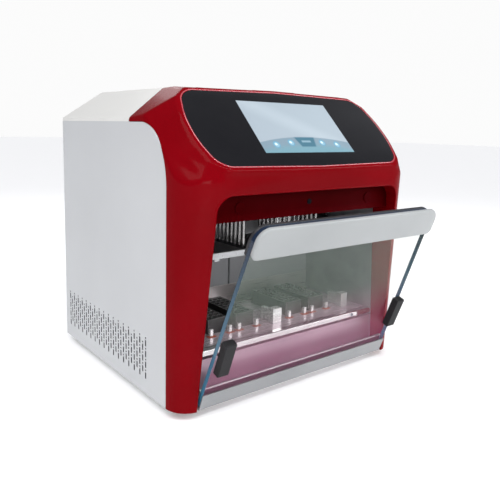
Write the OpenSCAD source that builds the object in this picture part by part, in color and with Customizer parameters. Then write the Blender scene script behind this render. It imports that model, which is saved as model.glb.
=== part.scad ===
// Bench-top nucleic acid extractor with a tilting glass door.
// X runs across the front, Y from front to back, Z up, in millimetres.

/* [Housing] */
// Width over the two side panels
body_w = 380; // [372:1:400]
// Depth from the front edge of the side panels to the back
body_d = 309; // [300:1:340]
// Height of the side panels
side_h = 331; // [322:1:345]
// Height of the flat roof above the bottom of the side panels
roof_h = 376; // [372:1:392]
// How far each roof slope comes in from the side
slope_run = 63; // [50:1:75]
// Height of the upright lip below each roof slope
lip_h = 4; // [2:0.5:8]
// Thickness of sheet metal panels
sheet = 2; // [1:0.1:2.4]
// Gap between neighbouring covers
seam = 0.4; // [0.2:0.1:1]
// Front-to-back radius of the curve on the side panel
side_curve_y = 58; // [45:1:60]
// Upward radius of that curve
side_curve_z = 72; // [55:1:80]
// Height of the rubber feet
foot_h = 10; // [6:1:16]
// Radius of a rubber foot
foot_r = 12; // [8:1:16]
// Distance of the foot centres from the sides and ends
foot_inset = 26; // [20:1:40]

/* [Vents] */
// Spacing of the vent columns
vent_pitch = 7.5; // [6:0.5:12]
// Vertical distance between two slots in one column
vent_step = 13.8; // [12:0.2:20]
// Length of a vent slot
vent_slot = 7.4; // [5:0.1:9]
// Width of slots and dots
vent_w = 1.8; // [1:0.1:2.6]
// Front edge of the vent field
vent_front = 52; // [40:1:80]
// Lower edge of the vent field
vent_low = 19; // [14:1:30]
// Upper edge of the vent field
vent_high = 73; // [60:1:100]

/* [Fascia] */
// Wall of the moulded front
wall = 3; // [2:0.1:4]
// How far the front stands ahead of the side panels at the bottom
front_out = 24; // [20:1:30]
// Forward lean of the front face
front_lean = 5; // [3:0.5:6]
// Forward reach of the band below the screen
band_out = 48.5; // [47:0.5:50]
// Height of that band over the door opening
band_h = 26; // [24:1:32]
// Roundness of the sides of the screen surround
surround_r = 28; // [18:1:32]

/* [Door opening] */
// Width of a pillar at the bottom
pillar_w = 25; // [23:0.5:25]
// Inward taper of both sides of the opening
open_taper = 2.7; // [1:0.1:4]
// Radius of its upper corners
open_r = 20; // [10:1:30]
// Depth at which the side reveals end
reveal_end = 3; // [2:0.5:8]
// Distance of the header ahead of the side panel line
header_out = 27; // [25:0.5:27.5]
// Thickness of the header
header_t = 2.5; // [2:0.1:4]
// Height of the header
header_h = 33; // [26:1:40]

/* [Screen] */
// Drop from the roof to where the screen plane meets the side panel line
screen_drop = 47.3; // [46:0.1:50]
// Distance of the black lens from the sides at its widest
lens_margin = 30; // [28:1:40]
// Half height of the black lens along the slope
lens_rise = 61; // [56:1:64]
// Thickness of the lens
lens_t = 2.5; // [2:0.1:3]
// Width of the lit area
lcd_w = 154; // [120:1:180]
// Height of the lit area
lcd_h = 88; // [70:1:96]

/* [Door] */
// Distance of the hinge axis ahead of the side panel line
hinge_out = 10; // [9:0.1:11]
// Height of the hinge axis
hinge_z = 9; // [8.5:0.1:11]
// Tilt of the open door
door_open = 21.2; // [15:0.1:25]
// Gap between the glass and the sides of the opening
door_gap = 3.2; // [2:0.1:5]
// Thickness of the glass
glass_t = 6; // [4:0.1:7]
// Distance of the back of the glass ahead of the hinge axis
glass_out = 8; // [7.5:0.1:8.5]
// Distance from the top of the glass to the top of the opening
glass_gap = 5; // [4.5:0.5:10]
// Height of the aluminium rail
rail_h = 23; // [18:1:26]
// How far the rail hangs below the hinge
rail_drop = 4; // [2:0.1:4.5]
// Thickness of the lip in front of the glass
rail_lip = 1.3; // [1:0.1:2]
// Height of the handle
handle_h = 39; // [30:1:44]
// Thickness of the handle
handle_t = 6; // [4:0.5:7]
// Height of the handle above the upper edge of the glass
handle_over = 4; // [2:0.5:5]
// Thickness of the black backing behind the glass
backing_t = 4; // [2:0.5:4.5]
// Width of the blocks at the glass edges
block_w = 15; // [10:1:20]
// Height of those blocks
block_h = 45; // [30:1:60]
// Thickness of those blocks
block_t = 10; // [6:1:14]
// Height of the lower end of the blocks above the hinge axis
block_z = 52; // [35:1:80]
// Radius of the hinge pins
pin_r = 3; // [2.5:0.1:3.5]

/* [Chamber] */
// Distance of the chamber from the outside of the side panels
side_room = 27; // [27:0.5:28]
// Thickness of the side walls of the chamber
liner_t = 1.5; // [1:0.1:1.5]
// Depth of the rear wall of the chamber
chamber_back = 140; // [138:1:144]
// Drop from the top of the opening to the top of the rear wall
wall_drop = 37; // [34:1:45]
// Gap between the two halves of the rear wall
wall_seam = 3; // [1:0.5:5]
// Height of the deck
deck_z = 60; // [50:1:70]
// Height of the stainless strip on the rear wall
strip_h = 30; // [20:1:40]
// Depth of the plate that carries the mechanism
frame_y = 156; // [155:0.5:160]

/* [Plates] */
// Length of a sample plate
plate_w = 127.8; // [126:0.1:129]
// Width of a sample plate
plate_d = 85.5; // [84:0.1:87]
// Distance between the centres of the two plates
plate_pitch = 135; // [133:1:138]
// Depth of the plate centres
plate_y = 81; // [79:0.5:83]
// Distance between wells
well_pitch = 9; // [8.9:0.1:9.1]
// Height of a heating block
heater_h = 20; // [14:1:26]
// Radius of the seats in a heating block
seat_r = 3.7; // [3:0.1:4.1]
// Depth of those seats
seat_depth = 6; // [3:0.5:10]
// Height of the locating posts
post_h = 9; // [5:1:14]
// Height of the plate guides
guide_h = 21; // [12:1:30]

/* [Head] */
// Sideways place of the head, counted from the middle of the deck
head_x = -4.5; // [-22.5:4.5:22.5]
// Height of the underside of the sleeve carrier
carrier_z = 163; // [160:1:170]
// Thickness of the sleeve carrier
carrier_t = 5; // [4:0.5:6]
// Width of a slot in the sleeve carrier
slot_w = 12; // [11:0.5:14]
// Length of a slot in the sleeve carrier
slot_l = 74; // [72:1:76]
// Radius of a magnet rod
rod_r = 2.3; // [1.8:0.1:2.6]
// Length of a rod below its holder
rod_l = 60; // [50:1:66]
// Width of a rod holder
holder_w = 10; // [7:0.5:10.5]
// Height of a rod holder
holder_h = 8; // [6:1:10]
// Radius of lead screws and guide shafts
screw_r = 4; // [3:0.1:4.5]
// Radial clearance of pins, screws and shafts in their bores
fit = 0.05; // [0.02:0.01:0.09]
// Width of the two motors on the head
motor_small = 35; // [30:1:36]
// Width of the motor beside the chamber
motor_large = 42; // [38:1:43]

/* [Rear] */
// Width of a fan
fan_w = 80; // [60:1:90]
// Thickness of a fan
fan_t = 25; // [15:1:30]
// Height of the fan centres
fan_z = 232; // [180:1:250]
// Height of the power inlet and switch
inlet_z = 42; // [36:1:60]

/* [Hidden] */
$fn = 48;
arc_n = 8;

body_half = body_w / 2;
front_y = -front_out;
hinge_y = -hinge_out;
// The inlet flange is the rearmost point
flange_t = 2.5;
screen_z = roof_h - screen_drop;
band_top = screen_z - band_out - 2.2;
open_top = band_top - band_h;
open_half = body_half - pillar_w;
header_low = open_top - header_h;
lens_half = body_half - lens_margin;
glass_top = open_top - hinge_z - glass_gap;
chamber_half = body_half - side_room;
chamber_wall_top = open_top - wall_drop;
handle_top = glass_top + handle_over;
glass_front = glass_out + glass_t;
handle_front = glass_front + handle_t;
// Foremost point of the open door, which sets the middle of the footprint
edge_r = 2;
nose_y = hinge_y - handle_front * cos(door_open) - (handle_top - edge_r) * sin(door_open);
shift_y = -(nose_y + body_d + flange_t) / 2;
slope_low = side_h + seam + lip_h;
// Rear edge of the red front on the side and on the roof
fascia_back_low = 93;
fascia_back_top = 119;
side_curve_back = 4 + side_curve_y;
// Rear edge of the bottom wall of the front, where the base tray starts
foot_edge = 4;
liner_out = chamber_half + liner_t;
frame_t = 3;

// Wells: eight in a column, three columns on each heating block
well_n = 8;
row_offset = 3 * well_pitch;
heater_offset = 2.5 * well_pitch;
heater_w = 30;
heater_l = well_n * well_pitch + 6;
carrier_top = carrier_z + carrier_t;
rod_low = carrier_top + 2;
holder_low = rod_low + rod_l;
head_low = holder_low + holder_h;
head_t = 5;
row_x = [-plate_pitch / 2 - row_offset, -plate_pitch / 2 + row_offset,
         plate_pitch / 2 - row_offset, plate_pitch / 2 + row_offset];
heater_x = [-plate_pitch / 2 - heater_offset, -plate_pitch / 2 + heater_offset,
            plate_pitch / 2 - heater_offset, plate_pitch / 2 + heater_offset];
shaft_y = plate_y + 23;
stage_y = plate_y + 33;
stage_t = 5;
z_rail_y = stage_y + stage_t + 8;
carriage_y = z_rail_y + 8;
carriage_t = 5;
x_rail_y = frame_y - 8;
x_screw_y = frame_y - 8;
x_screw_z = roof_h - 90;
x_rail_half = chamber_half - 5;
x_rail_gap = 24;
sleeve_screw_x = -38;
sleeve_screw_y = z_rail_y + 1;
stage_top = roof_h - 54;
// Top of the window in the stage, over the rod holders
stage_low = head_low + head_t + 7;
nut_z = stage_top - 37;
nut_h = 20;
carriage_low = chamber_wall_top + 2;
carriage_top = roof_h - 31;
fan_x = 80;
inlet_x = 50 - body_half;
switch_x = inlet_x + 45;
ports_x = body_half - 80;
catch_x = open_half - 54;
catch_z = open_top - 17;
bracket_t = 2.5;
// Rocker: pivot depth, half length of its pivot, tip to either side
rocker_in = 6;
rocker_pin = 8.7;
rocker_tip = 8;

// ---------- helpers ----------

function unit(v) = v / norm(v);
function turn(a) = (a % 360 + 540) % 360 - 180;

// One corner of an outline as an arc
function corner(a, p, b, r, n = arc_n) =
  r <= 0 ? [p] :
  let (u = unit(a - p), v = unit(b - p), half = acos(u * v) / 2,
       c = p + unit(u + v) * r / sin(half),
       s = p + u * r / tan(half) - c, e = p + v * r / tan(half) - c,
       a0 = atan2(s[1], s[0]), da = turn(atan2(e[1], e[0]) - a0))
  [for (i = [0:n]) c + r * [cos(a0 + da * i / n), sin(a0 + da * i / n)]];

// Outline from [x, y, radius] points
function rounded(pts) =
  let (n = len(pts))
  [for (i = [0:n - 1])
    let (a = pts[(i + n - 1) % n], p = pts[i], b = pts[(i + 1) % n])
    for (q = corner([a[0], a[1]], [p[0], p[1]], [b[0], b[1]], p[2])) q];

// Right half of a symmetric outline, bottom to top, completed with its left half
function both_sides(pts) =
  concat(pts, [for (i = [len(pts) - 1:-1:0]) [-pts[i][0], pts[i][1], pts[i][2]]]);

module place() {
  translate([0, shift_y, foot_h]) children();
}

module sides() {
  children();
  mirror([1, 0, 0]) children();
}

// Extrusion along X of an outline in Y and Z
module along_x(half) {
  rotate([90, 0, 90]) linear_extrude(height = 2 * half, center = true) children();
}

// Extrusion along Y of an outline in X and Z
module along_y(y0, y1) {
  translate([0, y1, 0]) rotate([90, 0, 0]) linear_extrude(height = y1 - y0) children();
}

module box(lo, hi) {
  translate(lo) cube(hi - lo);
}

module rod_x(x0, x1, y, z, r) {
  translate([x0, y, z]) rotate([0, 90, 0]) cylinder(h = x1 - x0, r = r);
}

module rod_y(y0, y1, x, z, r) {
  translate([x, y1, z]) rotate([90, 0, 0]) cylinder(h = y1 - y0, r = r);
}

module rod_z(z0, z1, x, y, r) {
  translate([x, y, z0]) cylinder(h = z1 - z0, r = r);
}

// The door's own axes: hinge at the origin, tilted by the open angle
module door_frame() {
  place() translate([0, hinge_y, hinge_z]) rotate([door_open, 0, 0]) children();
}

// The screen's own axes: X across, Y up the slope, Z out of the face
module screen_frame() {
  place() translate([0, 0, screen_z]) rotate([45, 0, 0]) children();
}

// The head's own axes
module head_frame() {
  place() translate([head_x, 0, 0]) children();
}

// ---------- fascia ----------

// Side view of the front moulding, carried back past the covers
module side_outline(t) {
  offset(delta = -t) polygon(rounded([
    [260, 0, 0], [front_y, 0, 3],
    [-band_out + 2, open_top - 2, 60], [-band_out, band_top, 0],
    [-band_out, screen_z - band_out, 7],
    [roof_h - screen_z, roof_h, 5], [260, roof_h, 0]]));
}

// Front view of the housing
module front_outline(t) {
  offset(delta = -t) polygon(rounded(both_sides([
    [body_half, 0, 4], [body_half, slope_low, 6],
    [body_half - slope_run, roof_h, 8]])));
}

// Radius of the rounded pillar at a height, tangent to the side where the side panel starts
function pillar_r(z) = front_out + 0.5 + foot_edge + z * tan(front_lean);

// The right-hand pillar, which widens upwards like a cone, and all that lies to its left
module pillar_side(t) {
  low = -10;
  high = 410;
  r = pillar_r(low) - t;
  translate([body_half - t, foot_edge, low])
    linear_extrude(height = high - low, scale = (pillar_r(high) - t) / r)
      polygon(concat([for (i = [0:arc_n * 2]) let (a = 45 * i / arc_n)
        [r * (cos(a) - 1), -r * sin(a)]], [[-500, -r], [-500, 300], [0, 300]]));
}

// Section across the screen: open in the middle, round at both sides
module surround_outline(t) {
  lift = 0.5;
  offset(delta = -t) union() {
    translate([-body_half + surround_r, -400]) square([body_w - 2 * surround_r, 400 + lift]);
    translate([-body_half, -400]) square([body_w, 400 - surround_r + lift]);
    sides() translate([body_half - surround_r, lift - surround_r]) circle(r = surround_r, $fn = 64);
  }
}

module housing_front(t) {
  intersection() {
    along_x(body_half + 1) side_outline(t);
    along_y(-120, 259) front_outline(t);
    pillar_side(t);
    mirror([1, 0, 0]) pillar_side(t);
    translate([0, 0, screen_z]) rotate([45, 0, 0]) rotate([90, 0, 0])
      linear_extrude(height = 900, center = true) surround_outline(t);
  }
}

// What lies behind the red moulding: the side panels below, the white cover above
module fascia_rear_cut(gap) {
  curve = [for (i = [0:12]) let (a = 180 - i * 7.5)
    [side_curve_back + side_curve_y * cos(a), side_h - side_curve_z + side_curve_z * sin(a)]];
  along_x(body_half + 5) offset(delta = gap) polygon(concat(
    [[400, -10], [4, -10]], curve,
    [[fascia_back_low, side_h], [fascia_back_low, slope_low],
     [fascia_back_top, roof_h], [fascia_back_top + 6, roof_h + 10], [400, roof_h + 10]]));
}

function open_at(z) = open_half - z * tan(open_taper);

module opening_outline(grow) {
  polygon(rounded(both_sides([
    [open_at(-20) + grow, -20, 0],
    [open_at(open_top) + grow, open_top + grow, open_r + grow]])));
}

module lens_outline(grow) {
  r = 28;
  polygon(rounded(both_sides([
    [0, -lens_rise - 2 - grow, 0],
    [lens_half - 14 + grow, -lens_rise + 4 - grow, r],
    [lens_half + grow, -lens_rise / 3, 70],
    [lens_half - 1 + grow, lens_rise / 6, 60],
    [lens_half - 20 + grow, lens_rise - 2 + grow, r],
    [0, lens_rise + 1.5 + grow, 0]])));
}

// Moulding before its openings are cut
module fascia_blank() {
  union() {
    difference() {
      housing_front(0);
      housing_front(wall);
      along_y(-80, 6) opening_outline(0);
    }
    // Side reveals and the ceiling over the door
    intersection() {
      housing_front(0.5);
      along_y(-60, -reveal_end) difference() {
        opening_outline(wall);
        opening_outline(0);
        translate([-250, -50]) square([500, 50]);
      }
    }
    // Header that carries the catches
    box([-open_at(header_low) - 1, -header_out, header_low],
        [open_at(header_low) + 1, -header_out + header_t, open_top + 1]);
    // Seat of the lens
    intersection() {
      housing_front(1);
      translate([0, 0, screen_z]) rotate([45, 0, 0]) translate([0, 0, -lens_t - wall])
        linear_extrude(height = wall) lens_outline(4);
    }
  }
}

// Recess for the lens and window for the display
module screen_cut() {
  translate([0, 0, screen_z]) rotate([45, 0, 0]) {
    translate([0, 0, -lens_t]) linear_extrude(height = 20) lens_outline(0.3);
    translate([0, 0, -20]) linear_extrude(height = 30)
      square([lcd_w + 6, lcd_h + 6], center = true);
  }
}

module front_fascia() {
  color([0.62, 0.02, 0.06]) place() difference() {
    difference() {
      difference() {
        fascia_blank();
        fascia_rear_cut(0);
      }
      screen_cut();
    }
    rod_x(-open_half - wall - 7, open_half + wall + 7, hinge_y, hinge_z, pin_r + 1);
  }
}

module screen_lens() {
  color([0.05, 0.05, 0.055]) screen_frame() translate([0, 0, -lens_t])
    linear_extrude(height = lens_t - 0.2) lens_outline(0);
}

module display_module() {
  color([0.62, 0.72, 0.78]) screen_frame() {
    translate([0, 0, -lens_t - wall]) linear_extrude(height = wall)
      square([lcd_w, lcd_h], center = true);
    translate([0, 0, -lens_t - wall - 10]) linear_extrude(height = 10)
      square([lcd_w + 18, lcd_h + 14], center = true);
  }
}

module catch_magnets() {
  color([0.35, 0.02, 0.04]) place() sides()
    rod_y(-header_out - 1.4, -header_out, catch_x, catch_z, 7);
}

module door_sensor() {
  color([0.1, 0.1, 0.1]) place() rod_y(-header_out - 1, -header_out, 0, catch_z + 1, 3.5);
}

module hinge_brackets() {
  x = open_half + wall + 1;
  color([0.6, 0.6, 0.62]) place() sides() difference() {
    union() {
      box([x, hinge_y - 6, wall], [x + 4, hinge_y + 14, hinge_z + 9]);
      box([x, hinge_y + 2, wall], [x + 10, hinge_y + 14, wall + 2]);
    }
    rod_x(x - 1, x + 5, hinge_y, hinge_z, pin_r + fit);
  }
}

// ---------- covers ----------

module base_tray() {
  inner = body_half - sheet;
  color([0.5, 0.52, 0.54]) place() {
    difference() {
      box([-inner, foot_edge, 0], [inner, body_d - sheet, sheet]);
      for (x = [-80:20:80]) for (y = [185:12:body_d - 24])
        translate([x, y, -1]) cylinder(h = sheet + 2, r = 2.5, $fn = 6);
    }
    box([-open_half + 1, -1.5, 0], [open_half - 1, foot_edge, sheet]);
    sides() box([inner - sheet, 30, sheet], [inner, body_d - 10, 16]);
  }
}

module rubber_feet() {
  color([0.08, 0.08, 0.08]) place() for (y = [foot_inset + 4, body_d - foot_inset])
    sides() translate([body_half - foot_inset, y, -foot_h]) difference() {
      union() {
        cylinder(h = 3, r1 = foot_r - 2, r2 = foot_r - 1.2);
        translate([0, 0, 3]) cylinder(h = foot_h - 3, r = foot_r);
      }
      translate([0, 0, -1]) cylinder(h = foot_h - 3, r = 4.5);
    }
}

module vent_holes() {
  cols = floor((body_d - 17 - vent_front) / vent_pitch);
  rows = floor((vent_high - vent_low) / vent_step);
  for (i = [0:cols]) for (j = [0:rows - 1]) {
    low = vent_low + j * vent_step + (i % 2) * vent_step / 2;
    translate([vent_front + i * vent_pitch, low]) {
      translate([-vent_w / 2, 0]) square([vent_w, vent_slot]);
      translate([0, vent_slot + (vent_step - vent_slot) / 2]) circle(d = vent_w, $fn = 6);
    }
  }
}

module side_panel() {
  curve = [for (i = [0:12]) let (a = 180 - i * 7.5)
    [side_curve_back + (side_curve_y - seam) * cos(a),
     side_h - side_curve_z + (side_curve_z - seam) * sin(a)]];
  step_y = fascia_back_low + seam;
  outline = concat([[body_d, 0], [foot_edge + seam, 0]], curve,
    [[step_y, side_h - seam], [step_y, side_h], [body_d, side_h]]);
  translate([body_half - sheet, 0, 0]) rotate([90, 0, 90])
    linear_extrude(height = sheet) difference() {
      polygon(outline);
      vent_holes();
    }
  // Folded rear flange
  box([body_half - sheet - 12, body_d - 2 * sheet, sheet],
      [body_half - sheet, body_d - sheet, side_h - 4]);
}

module right_side_panel() {
  color([0.8, 0.81, 0.82]) place() side_panel();
}

module left_side_panel() {
  color([0.8, 0.81, 0.82]) place() mirror([1, 0, 0]) side_panel();
}

module roof_outline(t) {
  offset(delta = -t) polygon(rounded(both_sides([
    [body_half, side_h - 20, 0], [body_half, slope_low, 2],
    [body_half - slope_run, roof_h, 4]])));
}

// Outline of the rear panel, under the slopes of the cover
module rear_outline(gap) {
  edge = body_half - sheet - seam + gap;
  top = side_h + 11.5 + gap;
  polygon([[edge, 0.5 - gap], [edge, slope_low - 3 + gap], [edge - 16, top],
           [16 - edge, top], [-edge, slope_low - 3 + gap], [-edge, 0.5 - gap]]);
}

module top_cover() {
  color([0.84, 0.84, 0.83]) place() difference() {
    along_y(fascia_back_low, body_d) roof_outline(0);
    along_y(fascia_back_low - 1, body_d - sheet) roof_outline(sheet);
    box([-body_half - 1, 0, side_h - 40], [body_half + 1, body_d + 1, side_h]);
    along_x(body_half + 1) polygon([[0, 0], [fascia_back_low + seam, 0],
      [fascia_back_low + seam, slope_low], [fascia_back_top + seam, roof_h],
      [fascia_back_top + seam, roof_h + 10], [0, roof_h + 10]]);
    along_y(body_d - sheet - 1, body_d + 1) rear_outline(seam);
  }
}

module rear_panel() {
  color([0.8, 0.81, 0.82]) place() difference() {
    along_y(body_d - sheet, body_d) rear_outline(0);
    sides() rod_y(body_d - sheet - 1, body_d + 1, fan_x, fan_z, fan_w / 2 - 3);
    box([inlet_x - 24, body_d - sheet - 1, inlet_z - 13.5],
        [inlet_x + 24, body_d + 1, inlet_z + 13.5]);
    box([switch_x - 10, body_d - sheet - 1, inlet_z - 13.5],
        [switch_x + 10, body_d + 1, inlet_z + 13.5]);
    box([ports_x - 22, body_d - sheet - 1, inlet_z - 9], [ports_x + 22, body_d + 1, inlet_z + 9]);
    for (x = [-60:10:60]) for (z = [70:14:126])
      translate([x, body_d + 1, z]) rotate([90, 0, 0])
        linear_extrude(height = sheet + 2) square([2.4, 9], center = true);
  }
}

module panel_screws() {
  color([0.7, 0.7, 0.72]) place() {
    for (z = [20, side_h / 2, side_h - 21]) sides() rod_y(body_d, body_d + 1.6, body_half - 10, z, 3);
    sides() rod_y(body_d, body_d + 1.6, 60, side_h + 4, 3);
    for (x = [-1, 1]) for (z = [-1, 1]) sides()
      rod_y(body_d, body_d + 1.6, fan_x + x * (fan_w / 2 - 4.2), fan_z + z * (fan_w / 2 - 4.2), 2.6);
  }
}

// ---------- chamber ----------

module chamber_side_walls() {
  color([0.6, 0.62, 0.63]) place() difference() {
    sides() box([chamber_half, -reveal_end, sheet], [liner_out, frame_y, roof_h - 76]);
    rod_x(0, body_half, x_screw_y, x_screw_z, 6);
    along_x(body_half) polygon([[-20, screen_z - 59], [60, screen_z + 21], [-20, screen_z + 21]]);
  }
}

module rear_wall(x0, x1) {
  color([0.66, 0.68, 0.69]) place() {
    box([x0, chamber_back, deck_z], [x1, chamber_back + sheet, chamber_wall_top]);
    box([x0, chamber_back + sheet, chamber_wall_top - sheet], [x1, frame_y, chamber_wall_top]);
    inner = x0 < 0 ? x1 - sheet : x0;
    box([inner, chamber_back + sheet, deck_z], [inner + sheet, frame_y, chamber_wall_top - sheet]);
  }
}

module rear_wall_left() {
  rear_wall(-chamber_half, -wall_seam / 2);
}

module rear_wall_right() {
  rear_wall(wall_seam / 2, chamber_half);
}

module splash_strip() {
  color([0.75, 0.73, 0.7]) place() {
    box([-chamber_half, chamber_back - 1.5, deck_z], [chamber_half, chamber_back, deck_z + strip_h]);
    box([-chamber_half, chamber_back - 6, deck_z], [chamber_half, chamber_back - 1.5, deck_z + 1.5]);
  }
}

module deck_plate() {
  color([0.72, 0.72, 0.72]) place()
    box([-chamber_half, 1, deck_z - 2], [chamber_half, frame_y, deck_z]);
}

module deck_front_rail() {
  color([0.85, 0.85, 0.86]) place() difference() {
    union() {
      box([-chamber_half, 1, deck_z], [chamber_half, 7, deck_z + 1.5]);
      box([-chamber_half, -2, deck_z - 6], [chamber_half, 1, deck_z + 1.5]);
    }
    rotate([90, 0, 90]) translate([-2, deck_z + 1.5])
      linear_extrude(height = body_w, center = true) rotate(45) square(1.8, center = true);
  }
}

module deck_front_plate() {
  color([0.74, 0.72, 0.72]) place() {
    box([-chamber_half, -1.5, sheet], [chamber_half, 0, deck_z - 9]);
    box([-chamber_half, -3, deck_z - 10.5], [chamber_half, 12, deck_z - 9]);
    box([-chamber_half, 12, deck_z - 10.5], [chamber_half, 13.5, deck_z - 2]);
  }
}

module heating_block(i) {
  color([0.08, 0.07, 0.07]) place() translate([heater_x[i], plate_y, deck_z]) difference() {
    translate([-heater_w / 2, -heater_l / 2, 0]) cube([heater_w, heater_l, heater_h]);
    for (a = [-1:1]) for (k = [0:well_n - 1])
      translate([a * well_pitch, (k - (well_n - 1) / 2) * well_pitch, heater_h - seat_depth])
        cylinder(h = seat_depth + 1, r = seat_r, $fn = 12);
  }
}

module heating_block_1() {
  heating_block(0);
}

module heating_block_2() {
  heating_block(1);
}

module heating_block_3() {
  heating_block(2);
}

module heating_block_4() {
  heating_block(3);
}

post_y = plate_y - plate_d / 2 - 3;

module at_posts() {
  for (x = heater_x) for (s = [-15, 15]) translate([x + s, post_y, deck_z]) children();
}

module locating_posts() {
  color([0.9, 0.9, 0.9]) place() at_posts()
    translate([-2.5, -2, 1]) cube([5, 4, post_h]);
}

module post_pads() {
  color([0.62, 0.2, 0.1]) place() at_posts()
    translate([-6, -4, 0]) cube([12, 6.5, 1]);
}

module plate_guides() {
  gap = plate_pitch - plate_w - 0.8;
  front = plate_y - plate_d / 2;
  end_x = plate_pitch / 2 + plate_w / 2;
  color([0.88, 0.88, 0.88]) place() translate([0, front, deck_z]) {
    box([-gap / 2, -1, 0], [gap / 2, 20, guide_h - 4]);
    box([-8, -12, 0], [8, -1, guide_h]);
    sides() box([end_x + 0.5, -1, 0], [end_x + 6, 20, guide_h - 4]);
    sides() box([end_x - 3, -12, 0], [end_x + 10, -1, guide_h]);
  }
}

// ---------- mechanism fixed to the housing ----------

module mechanism_plate() {
  color([0.12, 0.12, 0.13]) place() difference() {
    box([-liner_out, frame_y, sheet], [liner_out, frame_y + frame_t, carriage_top]);
    for (x = [-120, 120]) rod_y(frame_y - 1, frame_y + frame_t + 1, x, 110, 12);
  }
}

module x_rails() {
  color([0.7, 0.71, 0.72]) place() for (s = [-1, 1])
    box([-x_rail_half, x_rail_y, x_screw_z + s * x_rail_gap - 6],
        [x_rail_half, frame_y, x_screw_z + s * x_rail_gap + 6]);
}

module x_screw_bearing() {
  color([0.3, 0.3, 0.32]) place() difference() {
    box([-x_rail_half - 3, x_screw_y - 9, x_screw_z - 10],
        [-x_rail_half + 6, frame_y, x_screw_z + 10]);
    rod_x(-x_rail_half - 4, -x_rail_half + 7, x_screw_y, x_screw_z, screw_r + fit);
  }
}

module x_motor() {
  h = motor_large / 2;
  color([0.15, 0.15, 0.16]) place() {
    box([liner_out + bracket_t, x_screw_y - h, x_screw_z - h],
        [liner_out + 20, x_screw_y + h, x_screw_z + h]);
    difference() {
      box([liner_out, x_screw_y - h, x_screw_z - h],
          [liner_out + bracket_t, frame_y + frame_t, x_screw_z + h]);
      rod_x(liner_out - 1, liner_out + bracket_t + 1, x_screw_y, x_screw_z, 7);
    }
  }
}

// ---------- rear and electronics ----------

module fan_frames() {
  y1 = body_d - sheet;
  color([0.08, 0.08, 0.09]) place() sides() {
    difference() {
      box([fan_x - fan_w / 2, y1 - fan_t, fan_z - fan_w / 2],
          [fan_x + fan_w / 2, y1, fan_z + fan_w / 2]);
      rod_y(y1 - fan_t - 1, y1 + 1, fan_x, fan_z, fan_w / 2 - 2);
    }
    difference() {
      union() {
        rod_y(y1 - fan_t, y1 - fan_t + 4, fan_x, fan_z, 17);
        for (a = [45, 165, 285]) translate([fan_x, y1 - fan_t, fan_z]) rotate([0, a, 0])
          box([-2, 0, 14], [2, 3, fan_w / 2 - 1.5]);
      }
      rod_y(y1 - fan_t - 1, y1 - fan_t + 5, fan_x, fan_z, 3 + fit);
    }
  }
}

module fan_guards() {
  color([0.75, 0.76, 0.77]) place() sides() translate([fan_x, body_d, fan_z]) rotate([-90, 0, 0]) {
    for (r = [12, 20, 28, 36]) rotate_extrude($fn = 48)
      translate([r, 1.6]) square([1.4, 1.4], center = true);
    for (a = [45:90:315]) rotate(a) box([10, -0.8, 0], [fan_w / 2 + 8, 0.8, 1]);
  }
}

module power_inlet() {
  color([0.06, 0.06, 0.06]) place() translate([inlet_x, body_d, inlet_z]) {
    difference() {
      union() {
        box([-27, 0, -16], [27, flange_t, 16]);
        box([-23.5, -24, -13], [23.5, 0, 13]);
      }
      box([-12, -16, -8], [12, 3, 8]);
    }
    for (p = [[-7, -2.5], [7, -2.5], [0, 2.5]])
      box([p[0] - 1, -16, p[1] - 2.5], [p[0] + 1, -1, p[1] + 2.5]);
  }
}

module switch_bezel() {
  color([0.06, 0.06, 0.06]) place() translate([switch_x, body_d, inlet_z]) difference() {
    union() {
      box([-13, 0, -16], [13, 2, 16]);
      box([-9.5, -18, -13], [9.5, 0, 13]);
    }
    box([-7, -15, -11], [7, 3, 11]);
    rod_x(-rocker_pin, rocker_pin, -rocker_in, 0, 1.5 + fit);
  }
}

// Rests tipped to one side
module power_rocker() {
  color([0.1, 0.1, 0.1]) place() translate([switch_x, body_d - rocker_in, inlet_z])
    rotate([-rocker_tip, 0, 0]) {
      rotate([90, 0, 90]) linear_extrude(height = 13.2, center = true)
        polygon([[-3, -8], [5.4, -10], [4, 0], [5.4, 10], [-3, 8]]);
      rod_x(-rocker_pin + 0.2, rocker_pin - 0.2, 0, 0, 1.5);
    }
}

module data_ports() {
  color([0.35, 0.36, 0.38]) place() translate([ports_x, body_d - sheet, inlet_z]) {
    difference() {
      box([-21.5, -18, -8.5], [21.5, sheet + 0.6, 8.5]);
      box([-19, -12, -6.5], [-4, 4, 6.5]);
      for (z = [-4, 4]) box([0, -12, z - 2.6], [16, 4, z + 2.6]);
    }
    for (z = [-4, 4]) box([1.5, -12, z - 0.5], [14.5, 0, z + 1.1]);
  }
}

module power_supply() {
  x0 = 13 - chamber_half;
  x1 = x0 + 105;
  y0 = frame_y + 20;
  y1 = body_d - 39;
  color([0.68, 0.69, 0.7]) place() {
    difference() {
      box([x0, y0, sheet + 4], [x1, y1, 52]);
      for (x = [x0 + 10:12:x1 - 11]) for (y = [y0 + 10:12:y1 - 12])
        translate([x, y, 48]) cylinder(h = 8, r = 3.6, $fn = 6);
    }
    for (x = [x0 + 10, x1 - 10]) for (y = [y0 + 10, y1 - 12])
      translate([x, y, sheet]) cylinder(h = 4, r = 3.5);
  }
}

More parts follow.
